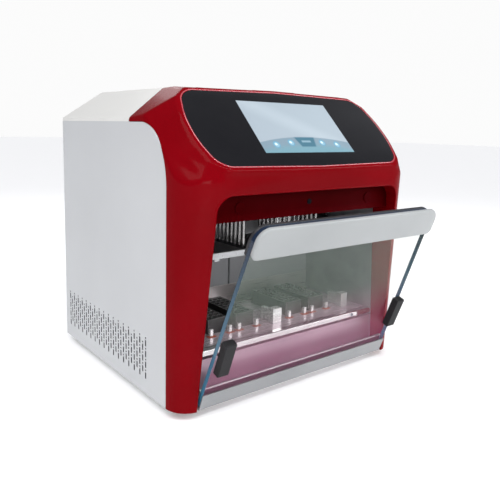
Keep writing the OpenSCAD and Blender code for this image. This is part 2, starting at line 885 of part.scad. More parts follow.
module control_board() {
  x1 = chamber_half - 3;
  y0 = frame_y + 19;
  y1 = body_d - 44;
  top = 15.6;
  color([0.05, 0.25, 0.14]) place() {
    box([20, y0, 14], [x1, y1, top]);
    for (x = [26, x1 - 6]) for (y = [y0 + 6, y1 - 6]) rod_z(sheet, 14, x, y, 3);
    box([60, y0 + 18, top], [84, y0 + 36, top + 2.4]);
    box([x1 - 50, y0 + 6, top], [x1 - 32, y0 + 36, top + 3.4]);
    for (x = [30:16:x1 - 18]) box([x, y1 - 18, top], [x + 11, y1 - 3, 26]);
    for (x = [34, 48]) rod_z(top, 34, x, y0 + 21, 6);
  }
}

// ---------- door ----------

function glass_half(z) = open_at(hinge_z + z) - door_gap;

module door_glass() {
  color([0.6, 0.78, 0.8, 0.4]) door_frame() along_y(-glass_front, -glass_out)
    polygon(rounded(both_sides([
      [glass_half(0), 0, 1], [glass_half(glass_top), glass_top, 18]])));
}

module door_rail() {
  back = glass_out - 4;
  front = glass_front + rail_lip;
  low = -rail_drop;
  high = rail_h - rail_drop;
  color([0.62, 0.64, 0.65]) door_frame() difference() {
    union() {
      along_x(glass_half(0)) polygon([
        [-back, low], [-front + 1.5, low], [-front, low + 1.5], [-front, high],
        [-glass_front, high], [-glass_front, 0], [-glass_out, 0],
        [-glass_out, high + 1], [-glass_out + 1.2, high + 2], [-back - 1, high + 2],
        [-back - 1, high - 2], [-back, high - 3]]);
      sides() rod_x(glass_half(0) - 14, glass_half(0), 0, 0, 5.5);
      sides() box([glass_half(0) - 14, -back - 0.5, low], [glass_half(0), 0, 5.5]);
    }
    rod_x(-body_half, body_half, 0, 0, pin_r);
  }
}

module hinge_pins() {
  color([0.75, 0.75, 0.76]) door_frame() sides()
    rod_x(glass_half(0) - 14, open_half + wall + 5, 0, 0, pin_r);
}

module handle_outline(inset) {
  low = handle_top - handle_h;
  gap = door_gap - 1.4;
  polygon(rounded(both_sides([
    [open_at(hinge_z + low) - gap - inset, low + inset, 8 - inset],
    [open_at(hinge_z + handle_top) - gap - inset, handle_top - 1.5 - inset, 17 - inset],
    [0, handle_top - inset, 0]])));
}

module door_handle() {
  color([0.86, 0.87, 0.87]) door_frame() hull() {
    along_y(-handle_front + edge_r, -glass_front) handle_outline(0);
    along_y(-handle_front, -glass_front) handle_outline(edge_r);
  }
}

module handle_backing() {
  low = handle_top - handle_h - 2;
  color([0.06, 0.06, 0.07]) door_frame() along_y(-glass_out, -glass_out + backing_t)
    polygon(rounded(both_sides([
      [glass_half(low), low, 5], [glass_half(glass_top) - 0.5, glass_top, 18]])));
}

module door_strikers() {
  color([0.6, 0.6, 0.6]) door_frame() sides()
    rod_y(-glass_out + backing_t, -glass_out + backing_t + 0.6, catch_x, catch_z - hinge_z, 5);
}

module door_edge_blocks() {
  x1 = glass_half(block_z + block_h) - 1;
  color([0.07, 0.07, 0.08]) door_frame() sides()
    translate([x1 - block_w, 0, block_z]) rotate([90, 0, 90])
      linear_extrude(height = block_w) polygon([
        [-glass_front, 0], [-glass_front, block_h],
        [-glass_front - block_t + 1, block_h], [-glass_front - block_t, block_h - 1],
        [-glass_front - block_t, 1], [-glass_front - block_t + 1, 0]]);
}

// ---------- moving head ----------

// Section of a bearing block that straddles a rail, open side at the top
module rail_block() {
  difference() {
    translate([-13.5, 0]) square([27, 14]);
    translate([-6.3, 7.7]) square([12.6, 10]);
  }
}

module head_carriage() {
  color([0.55, 0.56, 0.58]) head_frame() difference() {
    union() {
      box([-75, carriage_y, carriage_low], [75, carriage_y + carriage_t, carriage_top]);
      for (x = [-60, 60])
        box([x - 6, z_rail_y, carriage_low + 4], [x + 6, carriage_y, carriage_top - 2]);
      box([sleeve_screw_x - 9, z_rail_y - 6, carriage_low + 2],
          [sleeve_screw_x + 9, carriage_y, carriage_low + 10]);
      box([sleeve_screw_x - 18, z_rail_y - 16, carriage_top],
          [sleeve_screw_x + 18, carriage_y + carriage_t, carriage_top + 3]);
      box([-10, carriage_y + carriage_t, x_screw_z - 10], [10, frame_y - 0.5, x_screw_z + 10]);
    }
    rod_z(carriage_low, carriage_low + 12, sleeve_screw_x, sleeve_screw_y, screw_r + fit);
    rod_z(carriage_top - 1, carriage_top + 4, sleeve_screw_x, sleeve_screw_y, 7);
    rod_x(-20, 20, x_screw_y, x_screw_z, screw_r + fit);
  }
}

module x_bearing_blocks() {
  color([0.4, 0.41, 0.42]) head_frame() for (s = [-1, 1]) for (x = [-50, 50])
    translate([x, x_rail_y - 8, x_screw_z + s * x_rail_gap]) rotate([0, 90, 0])
      linear_extrude(height = 34, center = true) rail_block();
}

module motor(x, y, z, w, h) {
  translate([x, y, z]) linear_extrude(height = h)
    polygon(rounded([[-w / 2, -w / 2, 3], [w / 2, -w / 2, 3], [w / 2, w / 2, 3], [-w / 2, w / 2, 3]]));
}

module sleeve_motor() {
  color([0.15, 0.15, 0.16]) head_frame()
    motor(sleeve_screw_x, sleeve_screw_y, carriage_top + 3, motor_small, 22);
}

module sleeve_stage() {
  half = plate_pitch / 2 + plate_w / 2;
  y0 = plate_y - slot_l / 2;
  y1 = plate_y + slot_l / 2;
  color([0.1, 0.1, 0.11]) head_frame() difference() {
    union() {
      // Upright plate with two legs
      along_y(stage_y, stage_y + stage_t) polygon([
        [-half - 6, carrier_z], [-half + 3, carrier_z], [-half + 3, stage_low],
        [half - 3, stage_low], [half - 3, carrier_z], [half + 6, carrier_z],
        [half + 6, stage_top], [-half - 6, stage_top]]);
      // Carrier with a slot for each sleeve comb
      difference() {
        box([-half, y0 - 8, carrier_z], [half, stage_y + 12, carrier_top]);
        for (x = row_x) box([x - slot_w / 2, y0, carrier_z - 1], [x + slot_w / 2, y1, carrier_top + 1]);
      }
      // Gussets
      for (s = [-1, 1]) translate([s * (half + 4.5), 0, 0]) rotate([90, 0, 90])
        linear_extrude(height = 3, center = true)
          polygon([[y0 - 8, carrier_z], [stage_y, carrier_z], [stage_y, carrier_z + 60],
                   [stage_y - 12, carrier_z + 60], [y0 - 8, carrier_top + 3]]);
      sides() box([half - 1, y0 - 8, carrier_z], [half + 4, stage_y, carrier_top]);
      // Top bracket, screw nut and foot bearing
      box([-80, shaft_y - 10, stage_top - 4], [80, stage_y, stage_top]);
      box([sleeve_screw_x - 9, stage_y + stage_t, nut_z],
          [sleeve_screw_x + 9, sleeve_screw_y + 6, nut_z + nut_h]);
      rod_z(carrier_top, carrier_top + 5, 0, shaft_y, 7);
      // Bearing blocks on the upright rails
      for (x = [-60, 60]) translate([x, stage_y + stage_t, stage_top - 54])
        linear_extrude(height = 44) rail_block();
    }
    rod_z(nut_z - 1, nut_z + nut_h + 1, sleeve_screw_x, sleeve_screw_y, screw_r + fit);
    rod_z(carrier_top + 0.5, carrier_top + 6, 0, shaft_y, screw_r + fit);
    rod_z(stage_top - 5, stage_top + 1, 0, shaft_y, screw_r + 1);
  }
}

module carrier_front_bar() {
  half = plate_pitch / 2 + plate_w / 2;
  y0 = plate_y - slot_l / 2 - 8;
  color([0.72, 0.73, 0.74]) head_frame() {
    box([-half - 4, y0 - 3, carrier_z - 2], [half + 4, y0, carrier_top + 1]);
    for (x = row_x) box([x - 4, y0 - 3, carrier_z - 5], [x + 4, y0, carrier_z - 2]);
  }
}

module guide_shafts() {
  color([0.85, 0.86, 0.87]) head_frame() for (x = [-plate_pitch / 2, plate_pitch / 2])
    rod_z(carrier_top, stage_top - 4, x, shaft_y, screw_r);
}

module magnet_motor() {
  color([0.15, 0.15, 0.16]) head_frame() motor(0, shaft_y, stage_top, motor_small, 30);
}

module magnet_head() {
  color([0.25, 0.25, 0.27]) head_frame() difference() {
    union() {
      box([-118, plate_y - 38, head_low], [118, stage_y - 2, head_low + head_t]);
      rod_z(head_low - 3, head_low + 12, 0, shaft_y, 7.5);
      for (x = [-plate_pitch / 2, plate_pitch / 2])
        rod_z(head_low - 5, head_low + 16, x, shaft_y, 7.5);
    }
    for (x = [-plate_pitch / 2, 0, plate_pitch / 2])
      rod_z(head_low - 10, head_low + 20, x, shaft_y, screw_r + fit);
  }
}

module magnet_rod_row(x) {
  translate([x, plate_y, 0]) {
    box([-holder_w / 2, -37, holder_low], [holder_w / 2, 32, head_low]);
    for (k = [0:well_n - 1]) translate([0, (k - (well_n - 1) / 2) * well_pitch, rod_low]) {
      translate([0, 0, 2]) cylinder(h = rod_l - 1, r = rod_r, $fn = 24);
      cylinder(h = 2, r1 = rod_r * 0.5, r2 = rod_r, $fn = 24);
    }
  }
}

module magnet_rod_rows() {
  color([0.2, 0.19, 0.19]) head_frame() for (x = row_x) magnet_rod_row(x);
}

module x_lead_screw() {
  color([0.6, 0.6, 0.58]) place()
    rod_x(-x_rail_half - 3, liner_out + bracket_t - 0.2, x_screw_y, x_screw_z, screw_r);
}

module sleeve_lead_screw() {
  color([0.6, 0.6, 0.58]) head_frame()
    rod_z(carriage_low + 2.2, carriage_top + 2.8, sleeve_screw_x, sleeve_screw_y, screw_r);
}

module magnet_lead_screw() {
  color([0.6, 0.6, 0.58]) head_frame()
    rod_z(carrier_top + 0.7, stage_top - 0.2, 0, shaft_y, screw_r);
}

module fan_rotor() {
  y1 = body_d - sheet;
  rod_y(y1 - fan_t + 4.5, y1 - 4, 0, 0, 16);
  rod_y(y1 - fan_t + 0.5, y1 - fan_t + 4.6, 0, 0, 3);
  for (a = [0:360 / 7:359]) rotate([0, a, 0])
    translate([0, y1 - fan_t / 2, 14]) rotate([0, 0, 38])
      box([-8, -0.8, 0], [8, 0.8, fan_w / 2 - 18]);
}

module fan_rotor_left() {
  color([0.1, 0.1, 0.11]) place() translate([-fan_x, 0, fan_z]) fan_rotor();
}

module fan_rotor_right() {
  color([0.1, 0.1, 0.11]) place() translate([fan_x, 0, fan_z]) fan_rotor();
}

base_tray();
rubber_feet();
left_side_panel();
right_side_panel();
top_cover();
rear_panel();
panel_screws();
front_fascia();
screen_lens();
display_module();
catch_magnets();
door_sensor();
hinge_brackets();
chamber_side_walls();
rear_wall_left();
rear_wall_right();
splash_strip();
deck_plate();
deck_front_rail();
deck_front_plate();
heating_block_1();
heating_block_2();
heating_block_3();
heating_block_4();
locating_posts();
post_pads();
plate_guides();
mechanism_plate();
x_rails();
x_screw_bearing();
x_motor();
fan_frames();
fan_guards();
power_inlet();
switch_bezel();
data_ports();
power_supply();
control_board();
door_glass();
door_rail();
door_handle();
handle_backing();
door_edge_blocks();
hinge_pins();
door_strikers();
head_carriage();
x_bearing_blocks();
sleeve_motor();
sleeve_stage();
carrier_front_bar();
guide_shafts();
magnet_motor();
magnet_head();
magnet_rod_rows();
x_lead_screw();
sleeve_lead_screw();
magnet_lead_screw();
fan_rotor_left();
fan_rotor_right();
power_rocker();
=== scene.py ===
from math import cos, pi, radians, sin, tan

import bmesh
import bpy
from mathutils import Matrix, Vector
from mathutils.bvhtree import BVHTree


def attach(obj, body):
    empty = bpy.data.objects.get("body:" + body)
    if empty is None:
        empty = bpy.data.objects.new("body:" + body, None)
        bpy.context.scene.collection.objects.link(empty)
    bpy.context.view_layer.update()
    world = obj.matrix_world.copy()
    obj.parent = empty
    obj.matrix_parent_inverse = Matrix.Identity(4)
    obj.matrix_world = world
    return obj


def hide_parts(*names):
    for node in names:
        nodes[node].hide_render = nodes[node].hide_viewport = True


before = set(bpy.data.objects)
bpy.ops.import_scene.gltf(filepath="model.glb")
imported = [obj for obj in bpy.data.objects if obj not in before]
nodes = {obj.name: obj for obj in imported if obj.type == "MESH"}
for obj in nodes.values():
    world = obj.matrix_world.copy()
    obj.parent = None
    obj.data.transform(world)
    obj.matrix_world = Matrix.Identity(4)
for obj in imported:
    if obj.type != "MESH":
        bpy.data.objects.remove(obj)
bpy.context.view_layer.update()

# ---------- Camera and studio ----------
# A still camera at the height of the screen, off the machine's left
# front corner, with a pale paper floor, a bright backdrop all round,
# wide light from above and four soft boxes round the machine.
SHIFT_Y = -0.098032
FOOT_H = 0.010
# From the machine's own millimetres, on its feet, to the frame's metres
MODEL = Matrix.Translation((0, SHIFT_Y, FOOT_H)) @ Matrix.Scale(0.001, 4)
CAMERA_PLACE = (-0.5102, -0.5425 + SHIFT_Y, 0.3259 + FOOT_H)


def linked(name, data):
    piece = bpy.data.objects.new(name, data)
    bpy.context.scene.collection.objects.link(piece)
    return piece


camera_data = bpy.data.cameras.new("camera")
camera = linked("camera", camera_data)
right = Vector((0.790968, -0.611478, 0.021540))
up = Vector((0.070248, 0.125727, 0.989575))
back = Vector((-0.607811, -0.781209, 0.142401))
turn = Matrix((right, up, back)).transposed().to_4x4()
camera.matrix_world = Matrix.Translation(CAMERA_PLACE) @ turn
camera_data.sensor_width = 36
camera_data.lens = 41.25
camera_data.shift_x = 0.0181
camera_data.shift_y = -0.079
camera_data.clip_start = 0.01
bpy.context.scene.camera = camera


def soft_box(name, place, aim, size, power):
    lamp = bpy.data.lights.new(name, "AREA")
    lamp.shape = "RECTANGLE"
    lamp.size, lamp.size_y = size
    lamp.energy = power
    box = linked(name, lamp)
    box.location = place
    box.rotation_euler = (Vector(aim) - Vector(place)).to_track_quat("-Z", "Y").to_euler()


soft_box("front_box", (0.1, -1.1, 1.5), (0, -0.2, 0.25), (1.4, 0.08), 10)
soft_box("rear_box", (0.9, 1.35, 1.1), (0, 0.1, 0.2), (1.2, 0.6), 5)
soft_box("right_box", (0.78, -1.1, 0.68), (0, -0.2, 0.27), (1.0, 0.4), 7)
soft_box("camera_box", (-0.8, -1.2, 0.32), (0, 0, 0.1), (0.5, 0.3), 2.6)
sun = bpy.data.lights.new("ceiling", "SUN")
sun.energy = 2.0
sun.angle = radians(48)
sun_from = Vector((-0.82, -0.36, 1.35))
linked("ceiling", sun).rotation_euler = sun_from.to_track_quat("Z", "Y").to_euler()


# A noise on the piece's own axes
def noise(tree, scale, detail=2.0, rough=0.5, stretch=(1, 1, 1)):
    coords = tree.nodes.new("ShaderNodeTexCoord")
    mapping = tree.nodes.new("ShaderNodeMapping")
    mapping.inputs["Scale"].default_value = stretch
    texture = tree.nodes.new("ShaderNodeTexNoise")
    texture.inputs["Scale"].default_value = scale
    texture.inputs["Detail"].default_value = detail
    texture.inputs["Roughness"].default_value = rough
    tree.links.new(coords.outputs["Object"], mapping.inputs["Vector"])
    tree.links.new(mapping.outputs["Vector"], texture.inputs["Vector"])
    return texture.outputs["Fac"]


# Takes a value from start and end to low and high
def spread(tree, value, low, high, start=0.3, end=0.7):
    ramp = tree.nodes.new("ShaderNodeMapRange")
    ramp.inputs["From Min"].default_value = start
    ramp.inputs["From Max"].default_value = end
    ramp.inputs["To Min"].default_value = low
    ramp.inputs["To Max"].default_value = high
    tree.links.new(value, ramp.inputs["Value"])
    return ramp.outputs["Result"]


def tint_between(tree, value, dark, light, start=0.3, end=0.7):
    ramp = tree.nodes.new("ShaderNodeValToRGB")
    ramp.color_ramp.elements[0].position = start
    ramp.color_ramp.elements[1].position = end
    ramp.color_ramp.elements[0].color = (*dark, 1)
    ramp.color_ramp.elements[1].color = (*light, 1)
    tree.links.new(value, ramp.inputs["Fac"])
    return ramp.outputs["Color"]


def bump(tree, shader, value, strength, distance):
    node = tree.nodes.new("ShaderNodeBump")
    node.inputs["Strength"].default_value = strength
    node.inputs["Distance"].default_value = distance
    tree.links.new(value, node.inputs["Height"])
    tree.links.new(node.outputs["Normal"], shader.inputs["Normal"])


# A surface whose colour drifts between two tones in patches, with a
# fine grain in its gloss and, given a depth in metres, in its relief
def finish(name, dark, light, rough, grain, depth=0.0, stretch=(1, 1, 1), patch=9, **fixed):
    material = bpy.data.materials.new(name)
    material.use_nodes = True
    tree = material.node_tree
    shader = tree.nodes["Principled BSDF"]
    patches = noise(tree, patch, 3)
    fine = noise(tree, grain, 4, 0.6, stretch)
    tree.links.new(tint_between(tree, patches, dark, light), shader.inputs["Base Color"])
    tree.links.new(spread(tree, fine, *rough), shader.inputs["Roughness"])
    if depth:
        bump(tree, shader, fine, 0.35, depth)
    for socket, number in fixed.items():
        shader.inputs[socket.replace("_", " ")].default_value = number
    return material


def coated(piece, *materials):
    slots = piece.data.materials
    for i, material in enumerate(materials):
        if i < len(slots):
            slots[i] = material
        else:
            slots.append(material)
    return piece


def shape(name, mesh):
    data = bpy.data.meshes.new(name)
    mesh.to_mesh(data)
    mesh.free()
    return linked(name, data)


# The studio's glow, stronger from the right; the camera sees only the
# even white backdrop
world = bpy.data.worlds.new("studio")
bpy.context.scene.world = world
world.use_nodes = True
sky = world.node_tree
glow = sky.nodes["Background"]
glow.inputs["Color"].default_value = (0.93, 0.95, 1.0, 1)
way = sky.nodes.new("ShaderNodeTexCoord")
split = sky.nodes.new("ShaderNodeSeparateXYZ")
sky.links.new(way.outputs["Generated"], split.inputs[0])
falloff = spread(sky, split.outputs["X"], 0.22, 0.36, -0.9, 0.7)
sky.links.new(falloff, glow.inputs["Strength"])
backdrop = sky.nodes.new("ShaderNodeBackground")
backdrop.inputs["Color"].default_value = (1, 1, 1, 1)
backdrop.inputs["Strength"].default_value = 0.97
rays = sky.nodes.new("ShaderNodeLightPath")
choice = sky.nodes.new("ShaderNodeMixShader")
sky.links.new(rays.outputs["Is Camera Ray"], choice.inputs["Fac"])
sky.links.new(glow.outputs[0], choice.inputs[1])
sky.links.new(backdrop.outputs[0], choice.inputs[2])
sky.links.new(choice.outputs[0], sky.nodes["World Output"].inputs["Surface"])
bpy.context.scene.view_settings.view_transform = "Standard"

ground = bmesh.new()
bmesh.ops.create_grid(ground, x_segments=1, y_segments=1, size=14)
floor = shape("floor", ground)
coated(floor, finish("floor_paper", (0.86, 0.86, 0.87), (0.88, 0.88, 0.89), (0.75, 0.85), 60,
                     Specular_IOR_Level=0.1, Emission_Color=(1, 1, 1, 1), Emission_Strength=0.22))


# ---------- Red moulded front ----------
# One large gloss red injection moulding: pillars, band, screen
# surround and the catch header, hollow behind, screwed to the panels.
# All sizes from here on are in millimetres, unless they say otherwise.
HALF_W = 190
ROOF_H = 376
SIDE_H = 331
SCREEN_H = 328.7      # where the screen's slope meets the plane of the front
SEAM_Y, SEAM_Z = 62, 259      # centre of the seam's quarter ellipse
SEAM_REACH, SEAM_RISE = 58, 72
STEP_Y = 93           # where the seam steps up from the side to the slope
PILLAR_R = 28.5       # at the foot
PILLAR_Y = 4          # where the straight side begins
PILLAR_LEAN = tan(radians(5))
SHOULDER = (127, 119)
SHOULDER_SLOPE = (0.563, 0.078, 0.823)
OPEN_HALF = 165       # half of the doorway's width at its foot
OPEN_H = 252
OPEN_R = 20
TAPER = 0.04716       # how fast each side of the doorway leans in
WALL = 3
LENS_SEAT = -2.5
HINGE = (0, -10, 9)

# Turn a flat outline to face the front or the side
FRONT_FACE = Matrix(((1, 0, 0, 0), (0, 0, 1, 0), (0, 1, 0, 0), (0, 0, 0, 1)))
SIDE_FACE = Matrix(((0, 0, 1, 0), (1, 0, 0, 0), (0, 1, 0, 0), (0, 0, 0, 1)))
SCREEN = MODEL @ Matrix.Translation((0, 0, SCREEN_H)) @ Matrix.Rotation(radians(45), 4, "X")


def block(low, high):
    low, high = Vector(low), Vector(high)
    mesh = bmesh.new()
    bmesh.ops.create_cube(mesh, size=1, matrix=Matrix.Translation((low + high) / 2)
                          @ Matrix.Diagonal((*(high - low), 1)))
    return mesh


def edge_angle(edge):
    return edge.calc_face_angle(0) if len(edge.link_faces) == 2 else pi


# Rounds the edges sharper than crease degrees; an open edge, or one
# folded flat, stays as it is
def eased(mesh, width, steps=3, crease=28, slot=-1):
    folded = 3.1
    sharp = [e for e in mesh.edges if radians(crease) < edge_angle(e) < folded]
    bmesh.ops.bevel(mesh, geom=sharp, offset=width, offset_type="OFFSET", segments=steps,
                    profile=0.5, affect="EDGES", material=slot, clamp_overlap=True)
    return mesh


# A flat outline of (across, up, corner radius) points
def flat(points, arc=10):
    mesh = bmesh.new()
    verts = [mesh.verts.new((p[0], p[1], 0)) for p in points]
    mesh.faces.new(verts)
    for i, (vert, point) in enumerate(zip(verts, points)):
        if not point[2]:
            continue
        to_last = Vector(points[i - 1][:2]) - Vector(point[:2])
        to_next = Vector(points[(i + 1) % len(points)][:2]) - Vector(point[:2])
        length = point[2] / tan(to_last.angle(to_next) / 2)
        bmesh.ops.bevel(mesh, geom=[vert], offset=length, offset_type="OFFSET", segments=arc,
                        profile=0.5, affect="VERTICES", material=-1)
    return mesh


# The same outline with thickness, from low to high
def plate(points, low, high, edge=0.0, steps=3, arc=10):
    mesh = flat(points, arc)
    for vert in mesh.verts:
        vert.co.z = low
    grown = bmesh.ops.extrude_face_region(mesh, geom=mesh.faces[:])
    for vert in (v for v in grown["geom"] if isinstance(v, bmesh.types.BMVert)):
        vert.co.z = high
    bmesh.ops.recalc_face_normals(mesh, faces=mesh.faces)
    if edge:
        eased(mesh, edge, steps, 50)
    return mesh


# Mirrors the right half of an outline
def both_sides(points):
    return list(points) + [(-x, z, r) for x, z, r in reversed(points)]


def turned(mesh, matrix):
    bmesh.ops.transform(mesh, matrix=matrix, verts=mesh.verts)
    bmesh.ops.recalc_face_normals(mesh, faces=mesh.faces)
    return mesh


# Cuts away what lies beyond a plane and closes the cut
def sliced(mesh, point, outward):
    cut = bmesh.ops.bisect_plane(mesh, geom=mesh.verts[:] + mesh.edges[:] + mesh.faces[:],
                                 dist=0.0001, plane_co=point, plane_no=outward, clear_outer=True)
    rim = [e for e in cut["geom_cut"] if isinstance(e, bmesh.types.BMEdge)]
    bmesh.ops.holes_fill(mesh, edges=rim, sides=0)


# Adds a second mesh to the first
def joined(mesh, part):
    data = bpy.data.meshes.new("part")
    part.to_mesh(data)
    part.free()
    mesh.from_mesh(data)
    bpy.data.meshes.remove(data)


# Applies what modifiers a piece has
def settled(piece):
    graph = bpy.context.evaluated_depsgraph_get()
    made = bpy.data.meshes.new_from_object(piece.evaluated_get(graph))
    old = piece.data
    piece.modifiers.clear()
    piece.data = made
    bpy.data.meshes.remove(old)


# Smooths a piece's shading, but not over edges sharper than an angle
def shaded(piece, degrees):
    piece.data.shade_smooth()
    piece.data.set_sharp_from_angle(angle=radians(degrees))


# Cuts or intersects a piece with tools, which are used up
def worked(piece, operation, *tools, solver="MANIFOLD"):
    for tool in tools:
        cut = piece.modifiers.new(operation.lower(), "BOOLEAN")
        cut.operation = operation
        cut.solver = solver
        cut.object = tool
    settled(piece)
    for tool in tools:
        data = tool.data
        bpy.data.objects.remove(tool)
        bpy.data.meshes.remove(data)
    return piece


# The lens outline in the plane of the screen, grown all round
def lens_points(grow, reach=0):
    low, high = -65 - grow - reach, 61.5 + grow + reach
    half = [(150 + grow, low + 3, 24), (162.5 + grow, -22, 90),
            (162.5 + grow, 14, 90), (151 + grow, high - 4.5, 26)]
    return [(0, low, 0), *half, (0, high, 0),
            *[(-x, y, r) for x, y, r in reversed(half)]]


# Like outlines at several depths, bridged into one closed form
def stacked(sections):
    mesh = bmesh.new()
    rings = []
    for depth, points in sections:
        part = flat(points, 12)
        for vert in part.verts:
            vert.co.z = depth
        known = len(mesh.edges)
        joined(mesh, part)
        mesh.edges.ensure_lookup_table()
        rings.append(mesh.edges[known:])
    mesh.faces.ensure_lookup_table()
    bmesh.ops.delete(mesh, geom=mesh.faces[1:-1], context="FACES_ONLY")
    for lower, upper in zip(rings, rings[1:]):
        bmesh.ops.bridge_loops(mesh, edges=lower + upper)
    bmesh.ops.recalc_face_normals(mesh, faces=mesh.faces)
    return mesh


# Depth over the lens, growth all round, and further growth up and down
COLLAR = ((3, 4, 0), (0, 5.5, 0), (-6, 10, 0), (-14, 16, 2), (-25, 24, 8), (-40, 36, 20),
          (-60, 50, 35), (-90, 70, 60), (-400, 250, 300))


# The housing's front form: round pillars that widen upwards, cut by
# the screen's slope, the roof and its two side slopes. The inner form
# is smaller by about a wall's thickness all round.
def front_form(name, wall):
    low, high = -20, 400
    foot = PILLAR_R + low * PILLAR_LEAN
    grow = (PILLAR_R + high * PILLAR_LEAN) / foot
    mesh = block((-HALF_W, PILLAR_Y - foot, low), (HALF_W, HALF_W, high))
    pillars = [e for e in mesh.edges if all(v.co.y < 0 for v in e.verts)
               and abs(e.verts[0].co.x - e.verts[1].co.x) < 1]
    bmesh.ops.bevel(mesh, geom=pillars, offset=foot, offset_type="OFFSET", segments=20,
                    profile=0.5, affect="EDGES", material=-1)
    for vert in mesh.verts:
        if vert.co.z > 0:
            side = 1 if vert.co.x > 0 else -1
            if vert.co.y < PILLAR_Y:
                vert.co.x = side * (HALF_W - (HALF_W - abs(vert.co.x)) * grow)
                vert.co.y = PILLAR_Y + (vert.co.y - PILLAR_Y) * grow
    if wall:
        for vert in mesh.verts:
            side = 1 if vert.co.x > 0 else -1
            vert.co.x -= side * wall * (abs(vert.co.x) / HALF_W) ** 2
            if vert.co.y < PILLAR_Y:
                vert.co.y += wall * (1 - (abs(vert.co.x) / (HALF_W + 2)) ** 6)
    sliced(mesh, (0, 0, SCREEN_H - wall * 1.414), (0, -1, 1))
    sliced(mesh, (0, 0, ROOF_H - wall), (0, 0, 1))
    across, upward, rising = SHOULDER_SLOPE
    for side in (-1, 1):
        sliced(mesh, (side * (SHOULDER[0] - wall * 0.6), SHOULDER[1], ROOF_H - wall),
               (side * across, upward, rising))
    collar = stacked([(depth, lens_points(grow - wall, reach))
                      for depth, grow, reach in COLLAR])
    return worked(shape(name, turned(mesh, MODEL)), "INTERSECT",
                  shape("collar", turned(collar, SCREEN)), solver="EXACT")


# Half of the doorway's width at a height
def open_half(z):
    return OPEN_HALF - z * TAPER


def opening_plate(grow, front, rear):
    half = [(open_half(-20) + grow, -20, 0),
            (open_half(OPEN_H) + grow, OPEN_H + grow, OPEN_R + grow)]
    return turned(plate(both_sides(half), front, rear, arc=16), MODEL @ FRONT_FACE)


# Where the moulding ends at a side panel, on the side view
def seam(gap):
    return [(SEAM_Y - (SEAM_REACH - gap) * cos(radians(a)),
             SEAM_Z + (SEAM_RISE - gap) * sin(radians(a)), 0) for a in range(0, 91, 3)]


front = front_form("moulded_front", 0)
even = front.modifiers.new("even", "REMESH")
even.mode = "VOXEL"
even.voxel_size = 0.0018
soft = front.modifiers.new("soft", "SMOOTH")
soft.factor = 0.5
soft.iterations = 11
settled(front)


# All that lies below a height
def below(name, top):
    return shape(name, turned(block((-300, -300, -80), (300, 300, top)), MODEL))


# All that lies behind the seam, where the panels and the cover begin
behind = turned(plate([(400, -30, 0), (PILLAR_Y, -30, 0), *seam(0), (STEP_Y, SIDE_H, 0),
                       (STEP_Y, 335.4, 0), (SHOULDER[1], ROOF_H, 0), (125, 386, 0),
                       (125, 430, 0), (400, 430, 0)], -260, 260), MODEL @ SIDE_FACE)
worked(front, "DIFFERENCE", shape("behind", behind), below("under", 0))
hollow = front_form("hollow", WALL)
worked(hollow, "DIFFERENCE", shape("reveals", opening_plate(WALL, -90, -3)),
       below("foot_wall", WALL), solver="EXACT")
bore = bmesh.new()
bmesh.ops.create_cone(bore, cap_ends=True, segments=24, radius1=4, radius2=4, depth=350,
                      matrix=Matrix.Translation(HINGE) @ Matrix.Rotation(pi / 2, 4, "Y"))
pocket = turned(plate(lens_points(0.3), LENS_SEAT, 20, arc=16), SCREEN)
worked(front, "DIFFERENCE", hollow, shape("doorway", opening_plate(0, -90, 6)),
       shape("pocket", pocket), shape("bore", turned(bore, MODEL)))

# The catch header: a shallow plate at the top of the doorway, set back
HEADER_LOW, HEADER_HIGH = 219, 253
HEADER_FRONT, HEADER_REAR = -27, -24.5
header = turned(plate(both_sides([(open_half(HEADER_LOW), HEADER_LOW, 2),
                                  (open_half(HEADER_HIGH), HEADER_HIGH, 0)]),
                      HEADER_FRONT, HEADER_REAR, 0.6), MODEL @ FRONT_FACE)
# Its faces take a darker copy of the red, painted shade under the band's overhang
for face in header.faces:
    face.material_index = 1
header.from_mesh(front.data)
header.to_mesh(front.data)
header.free()
shaded(front, 32)

red_gloss = finish("red_gloss", (0.168, 0.0004, 0.0025), (0.198, 0.0008, 0.004), (0.22, 0.3),
                   1400, 0.00001, Specular_IOR_Level=0.01, Coat_Weight=0.07, Coat_Roughness=0.08)
# A darker copy of the gloss red: painted shade for the recessed header, the same plastic as the
# rest
header_red_in_painted_shade = finish("header_red_in_painted_shade", (0.050, 0.0002, 0.001), (0.066, 0.0004, 0.002), (0.35, 0.45),
                    1200, 0.00001, Specular_IOR_Level=0.01)
coated(front, red_gloss, header_red_in_painted_shade)
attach(front, "housing")
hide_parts("front_fascia")


# Makes a curve a mesh
def settled_curve(name, rope):
    graph = bpy.context.evaluated_depsgraph_get()
    made = bpy.data.meshes.new_from_object(rope.evaluated_get(graph))
    data = rope.data
    bpy.data.objects.remove(rope)
    bpy.data.curves.remove(data)
    return linked(name, made)


# A rounded lip of the same moulding along a path in metres
def bead(name, path, radius, closed):
    data = bpy.data.curves.new(name, "CURVE")
    data.dimensions = "3D"
    data.bevel_depth = radius
    data.bevel_resolution = 3
    spline = data.splines.new("POLY")
    spline.points.add(len(path) - 1)
    for point, place in zip(spline.points, path):
        point.co = (*place, 1)
    spline.use_cyclic_u = closed
    piece = settled_curve(name, linked(name, data))
    piece.data.shade_smooth()
    return piece


def stepped(points, length):
    path = []
    for i, start in enumerate(points):
        end = points[(i + 1) % len(points)]
        count = max(1, int((end - start).length / length))
        path += [start.lerp(end, k / count) for k in range(count)]
    return path


def outline_path(points, length=6):
    mesh = flat(points, 16)
    mesh.faces.ensure_lookup_table()
    ordered = [loop.vert.co.copy() for loop in mesh.faces[0].loops]
    mesh.free()
    return stepped(ordered, length)


skin = bmesh.new()
skin.from_mesh(front.data)
surface = BVHTree.FromBMesh(skin)
skin.free()


# Where a point meets the moulding as it moves one way
def dropped(place, way):
    return surface.ray_cast(place, way)[0]


